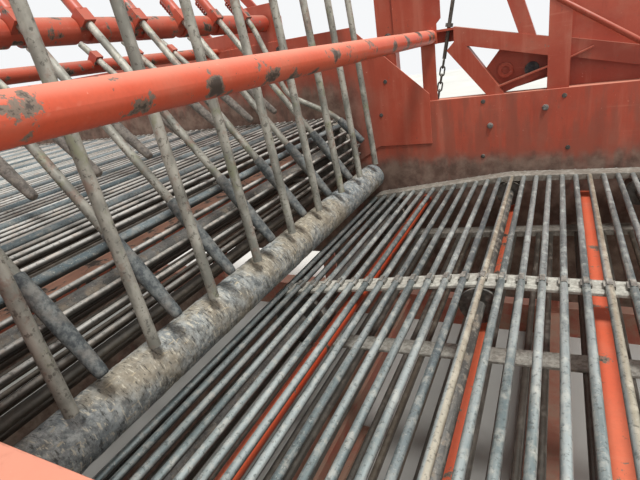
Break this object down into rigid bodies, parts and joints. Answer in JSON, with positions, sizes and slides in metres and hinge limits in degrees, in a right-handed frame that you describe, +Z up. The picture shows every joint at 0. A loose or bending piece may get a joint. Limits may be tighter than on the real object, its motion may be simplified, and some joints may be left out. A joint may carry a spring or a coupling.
{
  "type": "potato harvester haulm separating and sieving section",
  "caption": "Walled section of a towed potato harvester: two bar webs, a haulm roller between them and three hinged tine rows on a box-section frame.",
  "frame": {"origin": "centre of the axle seat's underside, on the floor under the rails", "axes": "+X with the crop flow, +Y across the channel to its left, +Z up"},
  "size_m": [3.4, 1.732, 1.5822],
  "materials": {
    "frame_paint": "faded orange red, worn and dusty",
    "bare_steel": "dull, weathered",
    "tine_steel": "worn grey with old paint",
    "web_bars": "polished by use, dusty",
    "rubber_sleeves": "matt, dusty",
    "soiled_roller": "crusted with dry soil",
    "motor_iron": "dark, satin"
  },
  "bodies": {
    "frame": {"rail_left": "frame_paint", "rail_right": "frame_paint", "crossmembers": "frame_paint", "posts": "frame_paint", "low_wall_left": "frame_paint", "low_wall_right": "frame_paint", "tall_wall_left": "frame_paint", "tall_wall_right": "frame_paint", "towers": "frame_paint", "tower_plates": "frame_paint", "shaft_plates": "frame_paint", "struts": "frame_paint", "side_frame": "frame_paint", "side_housing": "frame_paint", "guard_plate": "frame_paint", "top_cross_tube": "frame_paint", "adjusting_chain": "bare_steel", "upper_web": "web_bars", "bar_sleeves": "rubber_sleeves", "upper_head_drum": "bare_steel", "upper_tail_drum": "bare_steel", "upper_supports": "bare_steel", "upper_crossbars": "frame_paint", "lower_web": "web_bars", "lower_head_drum": "bare_steel", "lower_tail_drum": "bare_steel", "lower_supports": "bare_steel", "lower_crossbars": "frame_paint", "bearings": "bare_steel", "drive_motors": "motor_iron", "roller_scraper": "frame_paint"},
    "haulm_roller_body": {"haulm_roller": "soiled_roller", "haulm_shaft": "bare_steel"},
    "hanging_row": {"hanging_shaft": "frame_paint", "hanging_tines": "tine_steel", "hanging_clamps": "frame_paint"},
    "nose_row": {"nose_shaft": "frame_paint", "nose_holders": "frame_paint", "nose_springs": "frame_paint", "nose_tines": "tine_steel", "nose_sleeves": "rubber_sleeves"},
    "web_row": {"web_shaft": "frame_paint", "web_tines": "tine_steel", "web_clamps": "frame_paint", "web_sleeves": "rubber_sleeves"}
  },
  "joints": [
    {"name": "haulm_roller_spin", "type": "hinge", "parent": "frame", "child": "haulm_roller_body", "pos_m": [-0.065, 0, 0.635], "axis": [0, 1, 0], "continuous": true},
    {"name": "hanging_row_swing", "type": "hinge", "parent": "frame", "child": "hanging_row", "pos_m": [-0.115, 0, 1.45], "axis": [0, -1, 0], "range_deg": [0, 25]},
    {"name": "nose_row_swing", "type": "hinge", "parent": "frame", "child": "nose_row", "pos_m": [-0.427, 0, 1.226], "axis": [0, -1, 0], "range_deg": [0, 25]},
    {"name": "web_row_swing", "type": "hinge", "parent": "frame", "child": "web_row", "pos_m": [-0.67, 0, 1.16], "axis": [0, -1, 0], "range_deg": [0, 20]}
  ]
}
